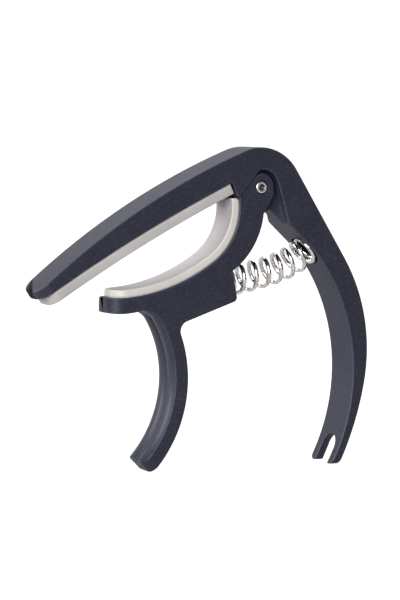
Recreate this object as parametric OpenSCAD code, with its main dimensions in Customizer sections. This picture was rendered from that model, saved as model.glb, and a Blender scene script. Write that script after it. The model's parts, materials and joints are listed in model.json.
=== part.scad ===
// Spring-loaded trigger capo for a guitar neck, in millimetres.
// It stands on its two handle tips: X runs along the bar, Y across it, and +Z is up.
// Outlines are [x, z] points about the pivot axis, and placed() moves them to the standing frame.

/* [Overall] */
// Height of the pivot axis above the handle tips
pivot_h = 71; // [58:0.5:76]
// Width of the upper arm casting
arm_w = 11; // [10:0.2:14]
// Step from the arm's side face in to the jaw's side face
side_step = 0.7; // [0.3:0.1:0.9]

/* [Bar] */
// Straight length of the bar, from its hinge end to its tip
bar_l = 57.6; // [44:0.2:70]
// Slope of the bar, in degrees below level
bar_slope = 30; // [26:1:32]
// Radius of the fingerboard that the bar pad fits over
fret_r = 400; // [240:10:500]
// Radius of the bar's top outline
bar_top_r = 190; // [170:5:215]
// Radius of the bar tip's corners, seen from above
tip_r = 3.6; // [2:0.2:4.4]
// Thickness of the bar pad
bar_pad_t = 2.8; // [1.5:0.05:3]
// How far the bar pad stops short of the bar's tip
pad_inset = 1.5; // [0.6:0.1:4]
// Step from the arm's side face in to the bar pad's side face
pad_step = 0.5; // [0.2:0.1:1]

/* [Rear handle] */
// Radius of the outer corner over the pivot
apex_r = 12.2; // [11:0.2:13]
// Length of the straight back below that corner
back_l = 27; // [22:1:32]
// Slope of the straight back, in degrees below level
back_slope = 56; // [54:1:60]
// Radius of the handle's outer curve
rear_r = 45; // [38:1:54]
// Thickness of the handle where the spring seats
seat_t = 6.4; // [5.6:0.1:8]
// Thickness of the handle at its tip
rear_tip_t = 2.6; // [2:0.1:3.6]
// Radius of the handle's inner curve
rear_in_r = 48; // [40:1:60]
// Width of the pin-puller slot
fork_w = 6; // [5:0.2:7]
// Depth of the pin-puller slot
fork_l = 7.2; // [6:0.2:10]
// Radius of the rear handle tip's corners
rear_tip_r = 1.6; // [0.6:0.2:2.2]

/* [Jaw] */
// Radius of the tight end of the cradle, next to the hinge
cradle_r = 16.2; // [15:0.2:17]
// Radius of the open end of the cradle
cradle_open_r = 47; // [40:1:56]
// Distance from the pivot to the tongue's tip, along X
tongue_x = 41; // [38:0.2:46]
// Radius of the tongue's corners, seen from above
tongue_r = 4; // [2:0.2:4.4]
// Thickness of the cradle pad
cradle_pad_t = 2; // [1.4:0.1:3]
// How far the cradle pad stops short of the tongue's tip
cradle_inset = 1.4; // [0.4:0.1:3]
// Step from the jaw's side face in to the cradle pad's side face
cradle_step = 0.3; // [0:0.1:0.8]
// Radius of the finger face of the front handle
grip_r = 28.6; // [26:0.2:31]
// Thickness of the front handle
grip_t = 3.6; // [3:0.1:4.6]
// Radius of the front handle tip's corners
grip_tip_r = 2.6; // [1:0.2:4]
// Width of the groove down the finger face
groove_w = 0.9; // [0.6:0.1:1.6]
// Depth of that groove
groove_d = 0.7; // [0.4:0.1:1.2]

/* [Hinge] */
// Radius of the rounded ears
ear_r = 3.4; // [3:0.1:3.8]
// Thickness of the arm's web between the ears
web_t = 4.6; // [3.6:0.1:5.4]
// Radius of the web about the pivot
web_r = 6.8; // [6.2:0.1:7]
// Radius of the pocket round each ear
pocket_r = 4.4; // [4.2:0.1:5]
// Thickness of the nylon washers
washer_t = 0.4; // [0.3:0.1:0.6]
// Step from the ear's outline in to the washer's edge
washer_step = 0.3; // [0.1:0.1:0.5]
// Running gap between a washer and its ear
ear_gap = 0.1; // [0.05:0.05:0.3]
// Gap between the ear's flank and the arm, where the jaw stops
stop_gap = 0.15; // [0.1:0.05:0.3]
// Gap round the web inside the jaw's slot
slot_gap = 0.4; // [0.3:0.1:0.8]
// Gap between the two pads, and from each to the arm
pad_gap = 0.25; // [0.15:0.05:0.5]

/* [Pivot] */
// Outer diameter of the nut's sleeve, which the jaw turns on
sleeve_d = 2.4; // [2:0.1:2.6]
// Diameter of the screw's thread
thread_d = 1.6; // [1.2:0.1:1.6]
// Diameter of the screw's head and of the nut's head
head_d = 3.1; // [2.9:0.1:3.6]
// Height of both heads
head_h = 1.1; // [0.8:0.1:1.3]
// Depth of each head below the jaw's side face
head_sink = 0.1; // [0.05:0.05:0.3]
// Gap round each head in its counterbore
head_gap = 0.3; // [0.1:0.05:0.4]
// Width of both heads' hex sockets across their flats
hex_w = 1.5; // [1.2:0.1:1.7]
// Depth of the hex sockets
hex_depth = 0.65; // [0.4:0.05:0.75]
// Wall of the bronze bush in the web
bush_wall = 0.6; // [0.4:0.1:0.8]
// Radial running clearance of the sleeve
run_gap = 0.03; // [0.02:0.01:0.06]
// Radial clearance of seats that don't turn
seat_gap = 0.01; // [0.01:0.01:0.03]

/* [Spring] */
// Outer diameter of the coil
coil_d = 8; // [7:0.1:8.4]
// Diameter of the wire
wire_d = 1.15; // [0.9:0.05:1.4]
// Number of working turns
turns = 6.5; // [5:0.5:7.5]
// Radial gap between the coil and its pockets
coil_gap = 0.3; // [0.15:0.05:0.4]
// Depth of the spring's pocket in the jaw
jaw_pocket_l = 1; // [0.6:0.1:1.6]
// Depth of the spring's pocket in the arm
arm_pocket_l = 1.4; // [0.8:0.1:2]

/* [Hidden] */
round_fn = 64;
// How far a cut runs past the face that it starts from
over = 1;
// How far a cut reaches when it has to pass right through an end
cut_l = 16;

// A unit vector, and the angle of a point seen from a centre
function dir(a) = [cos(a), sin(a)];
function ang(c, p) = atan2(p[1] - c[1], p[0] - c[0]);

// Points along an arc, at most 3 degrees and 4 mm apart
function arc(c, r, a0, a1) =
    let (n = max(2, ceil(abs(a1 - a0) / 3), ceil(abs(a1 - a0) * PI / 180 * r / 4)))
    [for (i = [0:n]) c + r * dir(a0 + (a1 - a0) * i / n)];

// Where two lines cross, each a point and a direction
function lines_meet(p, u, q, v) = p + u * cross(q - p, v) / cross(u, v);
// Where a line crosses a circle, on the side s of the circle's middle
function line_meets(p, u, c, r, s) =
    let (t = (c - p) * u, h = norm(c - p - t * u)) p + (t + s * sqrt(r * r - h * h)) * u;
// Where two circles cross, on the side s of the line between their centres
function circles_meet(c1, r1, c2, r2, s) =
    let (d = norm(c2 - c1), u = (c2 - c1) / d, a = (r1 * r1 - r2 * r2 + d * d) / (2 * d))
    c1 + a * u + s * sqrt(r1 * r1 - a * a) * [-u[1], u[0]];
// The centre of a circle through two points, on the side s of the line between them
function chord_center(p, q, r, s) =
    let (d = norm(q - p), u = (q - p) / d)
    (p + q) / 2 + s * sqrt(r * r - d * d / 4) * [-u[1], u[0]];

// --- Widths across the hinge ---
jaw_w = arm_w - 2 * side_step;
slot_w = web_t + 2 * (washer_t + ear_gap);
// Where the heads seat: the counterbores' floors, from the middle
seat_y = jaw_w / 2 - head_sink - head_h;
pocket_d = coil_d + 2 * coil_gap;
bush_d = sleeve_d + 2 * (run_gap + bush_wall);
bar_pad_w = arm_w - 2 * pad_step;
cradle_pad_w = jaw_w - 2 * cradle_step;

// --- Upper arm: bar, corner over the pivot, straight back and rear handle ---
bar_root = [-8.85, 0.95];
bar_dir = dir(180 + bar_slope);
bar_under_r = fret_r + bar_pad_t;
bar_end = bar_root + bar_l * bar_dir;
bar_c = chord_center(bar_root, bar_end, bar_under_r, 1);
root_a = ang(bar_c, bar_root);
end_a = ang(bar_c, bar_end);
// The bar pad stops short of the nub at the root, and short of the tip
pad_root_a = root_a + pad_gap / bar_under_r * 180 / PI;
pad_end_a = end_a - pad_inset / bar_under_r * 180 / PI;

apex_c = [-0.65, -2.2];
bar_top_a = 112.8;
bar_top_c = apex_c + (apex_r - bar_top_r) * dir(bar_top_a);
// The bar's end is cut square to its underside
bar_end_top = line_meets(bar_end, dir(end_a), bar_top_c, bar_top_r, 1);

back_a = 90 - back_slope;
rear_c = apex_c + apex_r * dir(back_a) + back_l * dir(back_a - 90) - rear_r * dir(back_a);
// Below rear_a1 the handle's outline straightens to the radius rear_low_r
rear_a1 = -9;
rear_low_r = 75;
rear_low_c = rear_c + (rear_r - rear_low_r) * dir(rear_a1);
rear_tip = line_meets([0, -pivot_h], [1, 0], rear_low_c, rear_low_r, 1);
rear_tip_in = rear_tip - [rear_tip_t, 0];
// The spring seats at the lower end of the inner flat, this far down the back
seat_drop = 20.6;
inner_slope = 41;
seat_p = apex_c + (apex_r - seat_t) * dir(back_a) + seat_drop * dir(back_a - 90);
rear_in_c = chord_center(seat_p, rear_tip_in, rear_in_r, -1);
web_corner = line_meets(seat_p, dir(180 - inner_slope), [0, 0], web_r, -1);

// --- The stop: the ear's left flank, and the arm's nub between it and the bar pad ---
flank_a = 141.3;
wall_a = -62;
wall_dir = dir(wall_a);
nub_flank = lines_meet((ear_r + stop_gap) * dir(flank_a), dir(flank_a - 90), bar_root, wall_dir);
nub_land = 0.5;
nub_p1 = nub_flank - nub_land * wall_dir;
nub_p2 = nub_flank + nub_land * dir(flank_a - 90);
web_start = line_meets(nub_p1, (nub_p2 - nub_p1) / norm(nub_p2 - nub_p1), [0, 0], web_r, -1);
// Where the cradle pad must stop: under the bar pad's corner, and beside the nub
keep_a = -30;
keep_l = 9;
keep_wall = bar_root - pad_gap * dir(wall_a + 90);
keep_p = lines_meet(bar_c + (fret_r - pad_gap) * dir(root_a), dir(root_a + 90), keep_wall, wall_dir);
keep_nub = lines_meet(nub_p1 - pad_gap * dir(keep_a + 90), dir(keep_a), keep_wall, wall_dir);

bar_seat = arc(bar_c, bar_under_r, end_a, root_a);
arm_outline = concat(bar_seat, [nub_p1],
    arc([0, 0], web_r, ang([0, 0], web_start), ang([0, 0], web_corner)),
    [seat_p],
    arc(rear_in_c, rear_in_r, ang(rear_in_c, seat_p), ang(rear_in_c, rear_tip_in)),
    arc(rear_low_c, rear_low_r, ang(rear_low_c, rear_tip), rear_a1),
    arc(rear_c, rear_r, rear_a1, back_a), arc(apex_c, apex_r, back_a, bar_top_a),
    arc(bar_top_c, bar_top_r, bar_top_a, ang(bar_top_c, bar_end_top)));

// The pocket that the ear turns in: open below, with a straight right wall
pocket_wall_a = 18.7;
pocket_drop = 12;
pocket_left = line_meets((ear_r + stop_gap) * dir(flank_a), dir(flank_a - 90), [0, 0], pocket_r, 1);
pocket_outline = concat(
    arc([0, 0], pocket_r, ang([0, 0], pocket_left), pocket_wall_a),
    [pocket_r * dir(pocket_wall_a) + pocket_drop * dir(pocket_wall_a - 90), [-1, -pocket_drop],
     pocket_left - pocket_drop * dir(flank_a - 90)]);

// --- Lower jaw: ears, cradle, tongue and front handle ---
cradle_c = [-22.3, -5.5];
cradle_join_a = -54;
cradle_open_c = cradle_c + (cradle_r - cradle_open_r) * dir(cradle_join_a);
flank_p = line_meets(ear_r * dir(flank_a), dir(flank_a + 90), cradle_c, cradle_r, -1);
tongue_top = line_meets([-tongue_x, 0], [0, -1], cradle_open_c, cradle_open_r, 1);
cradle_tip = line_meets([cradle_inset - tongue_x, 0], [0, -1], cradle_open_c, cradle_open_r, 1);

// Ear cheek, then the hollow back of the cradle down to the spring's face
ear_drop = 1.2;
cheek_a = -29;
hollow_c = [-18.5, -5];
hollow_r = 19.4;
hollow_top_a = -5;
hollow_end_a = -55.5;
spring_face_a = 13;
spring_face_top = hollow_c + hollow_r * dir(hollow_end_a);
spring_face_dir = dir(spring_face_a - 90);
spring_face_l = 6.4;
heel_r = 1.3;
heel_slope = 20;
heel_p = spring_face_top + spring_face_l * spring_face_dir;
heel_c = heel_p - heel_r * dir(spring_face_a);

grip_c = [-51.2, -48.6];
grip_back_r = grip_r + grip_t;
grip_end_a = -asin((pivot_h + grip_c[1]) / grip_back_r);
crotch_r = 2.5;
heel_out = heel_c + heel_r * dir(heel_slope - 90);
crotch_c = line_meets(heel_out + crotch_r * dir(heel_slope - 90), dir(180 + heel_slope),
                      grip_c, grip_back_r + crotch_r, -1);

// The tongue's underside bulges down, and a fillet turns it into the finger face
tongue_c = [-38.2, -6.2];
tongue_under_r = 25.2;
finger_fillet_r = 5.5;
finger_c = circles_meet(tongue_c, tongue_under_r + finger_fillet_r,
                        grip_c, grip_r - finger_fillet_r, 1);
tongue_low = line_meets([-tongue_x, 0], [0, -1], tongue_c, tongue_under_r, 1);
groove_top_a = ang(grip_c, finger_c) - 3;
groove_end_a = grip_end_a - 10;

cradle_seat = concat(
    arc(cradle_open_c, cradle_open_r, ang(cradle_open_c, tongue_top), cradle_join_a),
    arc(cradle_c, cradle_r, cradle_join_a, ang(cradle_c, flank_p)));
jaw_outline = concat(
    arc([0, 0], ear_r, flank_a, 0), arc([0, -ear_drop], ear_r, 0, cheek_a),
    arc(hollow_c, hollow_r, hollow_top_a, hollow_end_a),
    arc(heel_c, heel_r, spring_face_a, heel_slope - 90),
    arc(crotch_c, crotch_r, 90 + heel_slope, 180 + ang(grip_c, crotch_c)),
    arc(grip_c, grip_back_r, ang(grip_c, crotch_c), grip_end_a),
    arc(grip_c, grip_r, grip_end_a, ang(grip_c, finger_c)),
    arc(finger_c, finger_fillet_r, ang(grip_c, finger_c), ang(finger_c, tongue_c)),
    arc(tongue_c, tongue_under_r, ang(tongue_c, finger_c), ang(tongue_c, tongue_low)),
    cradle_seat);

// --- Spring: it leaves the jaw square to its face and meets the arm square to the inner corner ---
spring_drop = 3;
arm_seat_a = 45;
jaw_mouth = spring_face_top + spring_drop * spring_face_dir;
jaw_seat = jaw_mouth - jaw_pocket_l * dir(spring_face_a);
arm_seat = seat_p + arm_pocket_l * dir(arm_seat_a);
// The middle line is a cubic Bezier curve between the pockets' floors
spring_pull = norm(arm_seat - jaw_seat) / 3;
function bezier(a, b, c, d, t) =
    pow(1 - t, 3) * a + 3 * pow(1 - t, 2) * t * b + 3 * (1 - t) * t * t * c + pow(t, 3) * d;
function spring_mid(t) = bezier(jaw_seat, jaw_seat + spring_pull * dir(spring_face_a),
                                arm_seat - spring_pull * dir(arm_seat_a), arm_seat, t);
function spring_heading(t) = ang(spring_mid(t - 0.01), spring_mid(t + 0.01));
// One closed turn at each end rises by the wire, and the working turns share the rest
coil_turns = turns + 2;
spring_l = norm(arm_seat - jaw_seat);
coil_rise = wire_d / spring_l;
function coil_t(k) = coil_rise / 2 + (k < 1 ? k * coil_rise
    : k > turns + 1 ? 1 - (coil_turns - k + 1) * coil_rise
    : coil_rise + (k - 1) * (1 - 3 * coil_rise) / turns);
wire_sides = 10;
turn_steps = 20;

// ---------- Helpers ----------
// Moves an [x, z] point or solid from the pivot to the standing frame
box_left = min([for (p = arm_outline) p[0]]);
box_right = max([for (p = arm_outline) p[0]]);
module placed() translate([-(box_left + box_right) / 2, 0, pivot_h]) children();

// An outline in the X-Z plane, w wide across Y
module slab(points, w) rotate([90, 0, 0]) linear_extrude(w, center = true) polygon(points);

// A cylinder along Y from y0 to y1
module across(d, y0, y1, fn = round_fn) translate([0, y1, 0]) rotate([90, 0, 0])
    cylinder(d = d, h = y1 - y0, $fn = fn);

// What trims an end at p square to the angle a
module end_trim(p, a, w, depth) translate([p[0], 0, p[1]]) rotate([0, -a, 0])
    translate([0, -w, -depth / 2]) cube([depth, 2 * w, depth]);

// What rounds off both corners of an end at p that faces the angle a
module end_corners(p, a, w, r, depth) translate([p[0], 0, p[1]]) rotate([0, -a, 0])
    for (s = [-1, 1]) difference() {
        translate([-r, s * (w / 2 - r + (r + over) / 2) - (r + over) / 2, -depth / 2])
            cube([r + over, r + over, depth]);
        translate([-r, s * (w / 2 - r), -depth / 2 - over])
            cylinder(r = r, h = depth + 2 * over, $fn = round_fn);
    }

// A round pocket for the spring, bored square to the angle a to the depth l at the mouth p
module spring_pocket(p, a, l) translate([p[0], 0, p[1]]) rotate([0, 90 - a, 0])
    translate([0, 0, -pocket_d]) cylinder(d = pocket_d, h = l + pocket_d, $fn = round_fn);

// ---------- Castings ----------
module upper_arm() color("#33343c") placed() difference() {
    slab(arm_outline, arm_w);
    for (s = [-1, 1]) translate([0, s * (web_t + arm_w) / 2, 0]) slab(pocket_outline, arm_w);
    across(bush_d + 2 * seat_gap, -arm_w, arm_w);
    end_corners(bar_end, end_a + 90, arm_w, tip_r, cut_l);
    end_corners(rear_tip_in, -90, arm_w, rear_tip_r, cut_l);
    spring_pocket(seat_p, arm_seat_a, arm_pocket_l);
    translate([rear_tip[0], 0, fork_l - fork_w / 2 - pivot_h]) rotate([0, 90, 0])
        cylinder(d = fork_w, h = cut_l, center = true, $fn = round_fn);
    translate([rear_tip[0] - cut_l / 2, -fork_w / 2, -pivot_h - over])
        cube([cut_l, fork_w, over + fork_l - fork_w / 2]);
}

module lower_jaw() color("#33343c") placed() difference() {
    slab(jaw_outline, jaw_w);
    across(2 * (web_r + slot_gap), -slot_w / 2, slot_w / 2);
    across(sleeve_d + 2 * seat_gap, -arm_w, arm_w);
    for (s = [0, 180]) rotate([0, 0, s]) across(head_d + 2 * head_gap, seat_y, arm_w);
    spring_pocket(jaw_mouth, 180 + spring_face_a, jaw_pocket_l);
    end_corners(tongue_top, 180, jaw_w, tongue_r, cut_l);
    end_corners(grip_c + (grip_r + grip_t / 2) * dir(grip_end_a), grip_end_a - 90, jaw_w,
                grip_tip_r, cut_l);
    slab(concat(arc(grip_c, grip_r + groove_d, groove_end_a, groove_top_a),
                arc(grip_c, grip_r - over, groove_top_a, groove_end_a)), groove_w);
}

// ---------- Pads ----------
// What keeps the cradle pad's end clear of the bar pad and of the arm's nub
module pad_clearance() slab([keep_p, keep_p - keep_l * dir(root_a - 90), keep_p + [-keep_l, keep_l],
    keep_p + [keep_l, keep_l], keep_nub + keep_l * dir(keep_a), keep_nub], 2 * arm_w);

module bar_pad() color("#c9c4c0") placed() difference() {
    slab(concat(bar_seat, arc(bar_c, fret_r, root_a, end_a)), bar_pad_w);
    end_trim(bar_c + fret_r * dir(pad_root_a), root_a - 90, bar_pad_w, cut_l);
    end_trim(bar_c + fret_r * dir(pad_end_a), end_a + 90, bar_pad_w, cut_l);
    end_corners(bar_c + fret_r * dir(pad_end_a), end_a + 90, bar_pad_w, tip_r - pad_step, cut_l);
}

module cradle_pad() color("#d9d5ce") placed() difference() {
    slab(concat(cradle_seat,
        arc(cradle_c, cradle_r - cradle_pad_t, ang(cradle_c, flank_p), cradle_join_a),
        arc(cradle_open_c, cradle_open_r - cradle_pad_t, cradle_join_a,
            ang(cradle_open_c, tongue_top))), cradle_pad_w);
    end_trim(cradle_tip, 180, cradle_pad_w, cut_l);
    end_corners(cradle_tip, 180, cradle_pad_w, tongue_r - cradle_step, cut_l);
    pad_clearance();
}

// ---------- Spring ----------
module spring() color("#d6d6d8") placed() {
    steps = coil_turns * turn_steps;
    coil_r = (coil_d - wire_d) / 2;
    rings = [for (i = [0:steps], j = [0:wire_sides - 1])
        let (k = i / turn_steps, t = coil_t(k), h = spring_heading(t), m = spring_mid(t),
             out = coil_r + wire_d / 2 * cos(360 * j / wire_sides),
             along = wire_d / 2 * sin(360 * j / wire_sides),
             p = m + out * cos(360 * k) * dir(h + 90) + along * dir(h))
        [p[0], out * sin(360 * k), p[1]]];
    sides = [for (i = [0:steps - 1], j = [0:wire_sides - 1])
        let (a = i * wire_sides + j, b = i * wire_sides + (j + 1) % wire_sides)
        [a, b, b + wire_sides, a + wire_sides]];
    last = steps * wire_sides;
    polyhedron(rings, concat([[for (j = [wire_sides - 1:-1:0]) j]], sides,
                             [[for (j = [0:wire_sides - 1]) last + j]]));
}

// ---------- Pivot hardware ----------
// The sleeve nut goes in from the back. Its sleeve stops short of the screw's head, its bore stops
// short of its own head, and the screw's thread stops short of the bore's floor.
sleeve_short = 0.1;
nut_floor = 0.2;
thread_short = 0.6;
module pivot_nut() color("#b9babd") placed() difference() {
    union() {
        across(head_d, seat_y, seat_y + head_h);
        across(sleeve_d, sleeve_short - seat_y, seat_y + head_h / 2);
    }
    across(thread_d + 2 * run_gap, -jaw_w, seat_y - nut_floor);
    across(hex_w / cos(30), seat_y + head_h - hex_depth, jaw_w, 6);
}

module pivot_screw() color("#d0d1d4") placed() difference() {
    union() {
        across(head_d, -seat_y - head_h, -seat_y);
        across(thread_d, -seat_y - head_h / 4, seat_y - thread_short);
    }
    across(hex_w / cos(30), -jaw_w, hex_depth - seat_y - head_h, 6);
}

module pivot_bush() color("#b08d4c") placed() difference() {
    across(bush_d, -web_t / 2, web_t / 2);
    across(sleeve_d + 2 * run_gap, -web_t, web_t);
}

module washer(s) color("#e4e4e0") placed() translate([0, s * (web_t + washer_t) / 2, 0])
    difference() {
        across(2 * (ear_r - washer_step), -washer_t / 2, washer_t / 2);
        across(sleeve_d + 2 * run_gap, -web_t, web_t);
    }
module front_washer() washer(-1);
module rear_washer() washer(1);

upper_arm();
lower_jaw();
bar_pad();
cradle_pad();
spring();
pivot_screw();
pivot_nut();
pivot_bush();
front_washer();
rear_washer();
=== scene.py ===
# %% [markdown]
# # A trigger capo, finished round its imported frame
# A trigger capo is two small die castings on one hinge. The upper arm is a padded bar that presses the
# strings, and it runs on into the rear handle. The jaw is a padded cradle behind the neck, and it runs
# on into the front handle. A coil spring between them closes the pads, and a squeeze opens them.
# The frame already fixes every size, so this lesson only adds what the eye looks for: rounded edges,
# soft pads, a bright spring, and surfaces that look like powder coat, silicone and plated steel.

# %% Load the frame
import json
import math

import bmesh
import bpy
import numpy as np
from mathutils import Matrix, Vector


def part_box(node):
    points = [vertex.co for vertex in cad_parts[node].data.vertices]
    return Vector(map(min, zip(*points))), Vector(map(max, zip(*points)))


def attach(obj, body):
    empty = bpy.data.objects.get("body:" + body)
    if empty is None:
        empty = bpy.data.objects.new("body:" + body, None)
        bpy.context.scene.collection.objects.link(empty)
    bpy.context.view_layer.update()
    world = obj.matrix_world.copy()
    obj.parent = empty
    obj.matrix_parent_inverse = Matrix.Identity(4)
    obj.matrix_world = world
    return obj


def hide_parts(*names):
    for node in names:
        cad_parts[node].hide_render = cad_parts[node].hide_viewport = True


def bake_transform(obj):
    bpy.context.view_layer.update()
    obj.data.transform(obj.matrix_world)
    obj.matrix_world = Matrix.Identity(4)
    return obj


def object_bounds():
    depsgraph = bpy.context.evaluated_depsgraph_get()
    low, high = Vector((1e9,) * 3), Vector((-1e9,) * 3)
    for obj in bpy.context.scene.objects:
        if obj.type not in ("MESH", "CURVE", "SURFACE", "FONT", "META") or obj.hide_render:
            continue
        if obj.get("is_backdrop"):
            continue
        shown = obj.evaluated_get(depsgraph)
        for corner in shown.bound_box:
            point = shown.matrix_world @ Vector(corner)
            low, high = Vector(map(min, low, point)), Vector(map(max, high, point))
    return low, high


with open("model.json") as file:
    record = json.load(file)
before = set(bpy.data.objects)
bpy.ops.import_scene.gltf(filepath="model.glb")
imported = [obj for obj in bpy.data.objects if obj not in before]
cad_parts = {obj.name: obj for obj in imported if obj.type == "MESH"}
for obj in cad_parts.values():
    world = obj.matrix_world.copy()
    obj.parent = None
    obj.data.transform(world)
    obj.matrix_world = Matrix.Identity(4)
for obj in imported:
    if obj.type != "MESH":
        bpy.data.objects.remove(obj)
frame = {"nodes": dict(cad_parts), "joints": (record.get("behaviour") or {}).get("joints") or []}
cad_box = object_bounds()
MM, MICRON = 1e-3, 1e-6
PIVOT = np.array(frame["joints"][0]["pos_m"])

# %% [markdown]
# ## Places about the pivot
# Every outline on this object is easiest to give about its hinge pin, in millimetres: x towards the
# rear handle, y across the width, z up. One function turns those numbers into metres in the frame.

# %% Places and small helpers


def at_pivot(x, y, z):
    """Turns millimetres about the pivot into metres: the pivot's place plus a thousandth of each number."""
    return PIVOT + MM * np.stack(np.broadcast_arrays(x, y, z), axis=-1)


def heading(degrees):
    """The unit vector at an angle in the x-z plane: its cosine and its sine, stacked last."""
    a = np.radians(degrees)
    return np.stack([np.cos(a), np.sin(a)], axis=-1)


def ease(t):
    """A smooth step from 0 to 1: three t squared less two t cubed, with t held between 0 and 1."""
    t = np.clip(t, 0, 1)
    return t * t * (3 - 2 * t)


# %% [markdown]
# ## From a grid of numbers to a mesh
# All the new pieces are grids: rows of points along one parameter and columns along another. Each cell
# of four neighbours becomes a face. A row that shrinks to a point makes a pole, so doubles are merged
# afterwards, and then the faces are turned to point outwards.

# %% Grid to mesh
MERGE = 1e-7


def grid_piece(name, grid, around=True):
    """Makes an object from a grid of points (rows, columns, 3).

    Face (i, j) joins the points (i, j), (i, j+1), (i+1, j+1) and (i+1, j). With `around`, the last
    column joins the first. The UV map is the row and the column, each from 0 to 1.
    """
    rows, columns = grid.shape[:2]
    index = np.arange(rows * columns).reshape(rows, columns)
    if around:
        index = np.concatenate([index, index[:, :1]], axis=1)
    corners = [index[:-1, :-1], index[:-1, 1:], index[1:, 1:], index[1:, :-1]]
    faces = np.stack(corners, axis=-1).reshape(-1, 4)
    mesh = bpy.data.meshes.new(name)
    mesh.from_pydata(grid.reshape(-1, 3).tolist(), [], faces.tolist())
    u, v = np.meshgrid(np.linspace(0, 1, rows), np.linspace(0, 1, index.shape[1]), indexing="ij")
    uv = np.stack([u, v], axis=-1)
    cells = [uv[:-1, :-1], uv[:-1, 1:], uv[1:, 1:], uv[1:, :-1]]
    mesh.uv_layers.new(name="UVMap").data.foreach_set("uv", np.stack(cells, axis=2).ravel())
    built = bmesh.new()
    built.from_mesh(mesh)
    bmesh.ops.remove_doubles(built, verts=built.verts, dist=MERGE)
    bmesh.ops.recalc_face_normals(built, faces=built.faces)
    loose = [e for e in built.edges if not e.link_faces]
    bmesh.ops.delete(built, geom=loose, context="EDGES")
    open_edges = sum(not e.is_manifold for e in built.edges)
    built.to_mesh(mesh)
    built.free()
    mesh.shade_smooth()
    piece = bpy.data.objects.new(name, mesh)
    bpy.context.scene.collection.objects.link(piece)
    print(f"{name}: {len(mesh.polygons)} faces, {open_edges} open edges")
    return piece


def join_body(piece, body, slot, *nodes):
    """Lets a piece ride on a CAD body and hides the CAD nodes that it stands for. `slot` is not used."""
    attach(piece, body)
    if nodes:
        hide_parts(*nodes)
    return piece


# %% [markdown]
# ## Finishes: what two or more of them share
# Powder coat, silicone, nylon and sintered bronze all have a fine grain: a colour that wanders a
# little, specks of another tone, and a surface that isn't quite flat. So the grain is one shader node
# group, built once. Each material places it with its own sizes. It gives a colour, a roughness and a
# height, and the shader itself stays in the material.

# %% Node helpers


def node(tree, kind, at, **inputs):
    """Adds a shader node at a place on the canvas and sets its inputs by name."""
    made = tree.nodes.new(kind)
    made.location = at
    for name, value in inputs.items():
        made.inputs[name.replace("_", " ")].default_value = value
    return made


def wire(tree, *pairs):
    """Links each pair of an output and an input."""
    for output, target in pairs:
        tree.links.new(output, target)


def group_with(name, inputs, outputs):
    """Starts a node group with named inputs (name: kind, default) and outputs (name: kind)."""
    tree = bpy.data.node_groups.new(name, "ShaderNodeTree")
    for label, (kind, default) in inputs.items():
        socket = tree.interface.new_socket(label, in_out="INPUT", socket_type=kind)
        socket.default_value = default
    for label, kind in outputs.items():
        tree.interface.new_socket(label, in_out="OUTPUT", socket_type=kind)
    return tree, tree.nodes.new("NodeGroupInput"), tree.nodes.new("NodeGroupOutput")


NUMBER, COLOUR = "NodeSocketFloat", "NodeSocketColor"

# %% The fine grain group
grain, g_in, g_out = group_with(
    "fine_grain",
    {
        "Base": (COLOUR, (0.5, 0.5, 0.5, 1)),
        "Speck": (COLOUR, (0.6, 0.6, 0.6, 1)),
        "Grain Scale": (NUMBER, 3000),
        "Mottle Scale": (NUMBER, 120),
        "Speck Amount": (NUMBER, 0.5),
        "Roughness": (NUMBER, 0.5),
        "Roughness Spread": (NUMBER, 0.1),
    },
    {"Color": COLOUR, "Roughness": NUMBER, "Height": NUMBER},
)
place = node(grain, "ShaderNodeTexCoord", (-900, 0))
fine = node(grain, "ShaderNodeTexNoise", (-600, 200), Detail=3.0, Roughness=0.6)
mottle = node(grain, "ShaderNodeTexNoise", (-600, -100), Detail=2.0, Roughness=0.5)
specks = node(grain, "ShaderNodeMapRange", (-350, 200), From_Min=0.5, From_Max=0.72)
amount = node(grain, "ShaderNodeMath", (-150, 200))
amount.operation = "MULTIPLY"
tone = node(grain, "ShaderNodeMix", (50, 200))
tone.data_type = "RGBA"
shade = node(grain, "ShaderNodeMapRange", (-350, -100), From_Min=0.3, From_Max=0.7, To_Min=0.93, To_Max=1.07)
dim = node(grain, "ShaderNodeMix", (250, 100), Factor=1.0)
dim.data_type, dim.blend_type = "RGBA", "MULTIPLY"
spread = node(grain, "ShaderNodeMath", (-150, -250))
spread.operation = "MULTIPLY_ADD"
centre = node(grain, "ShaderNodeMath", (-350, -300))
centre.operation = "SUBTRACT"
centre.inputs[1].default_value = 0.5
wire(
    grain,
    (place.outputs["Object"], fine.inputs["Vector"]),
    (place.outputs["Object"], mottle.inputs["Vector"]),
    (g_in.outputs["Grain Scale"], fine.inputs["Scale"]),
    (g_in.outputs["Mottle Scale"], mottle.inputs["Scale"]),
    (fine.outputs["Fac"], specks.inputs["Value"]),
    (specks.outputs["Result"], amount.inputs[0]),
    (g_in.outputs["Speck Amount"], amount.inputs[1]),
    (amount.outputs["Value"], tone.inputs["Factor"]),
    (g_in.outputs["Base"], tone.inputs["A"]),
    (g_in.outputs["Speck"], tone.inputs["B"]),
    (mottle.outputs["Fac"], shade.inputs["Value"]),
    (tone.outputs["Result"], dim.inputs["A"]),
    (shade.outputs["Result"], dim.inputs["B"]),
    (mottle.outputs["Fac"], centre.inputs[0]),
    (centre.outputs["Value"], spread.inputs[0]),
    (g_in.outputs["Roughness Spread"], spread.inputs[1]),
    (g_in.outputs["Roughness"], spread.inputs[2]),
    (dim.outputs["Result"], g_out.inputs["Color"]),
    (spread.outputs["Value"], g_out.inputs["Roughness"]),
    (fine.outputs["Fac"], g_out.inputs["Height"]),
)
print("group", grain.name, len(grain.nodes), "nodes")
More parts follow.
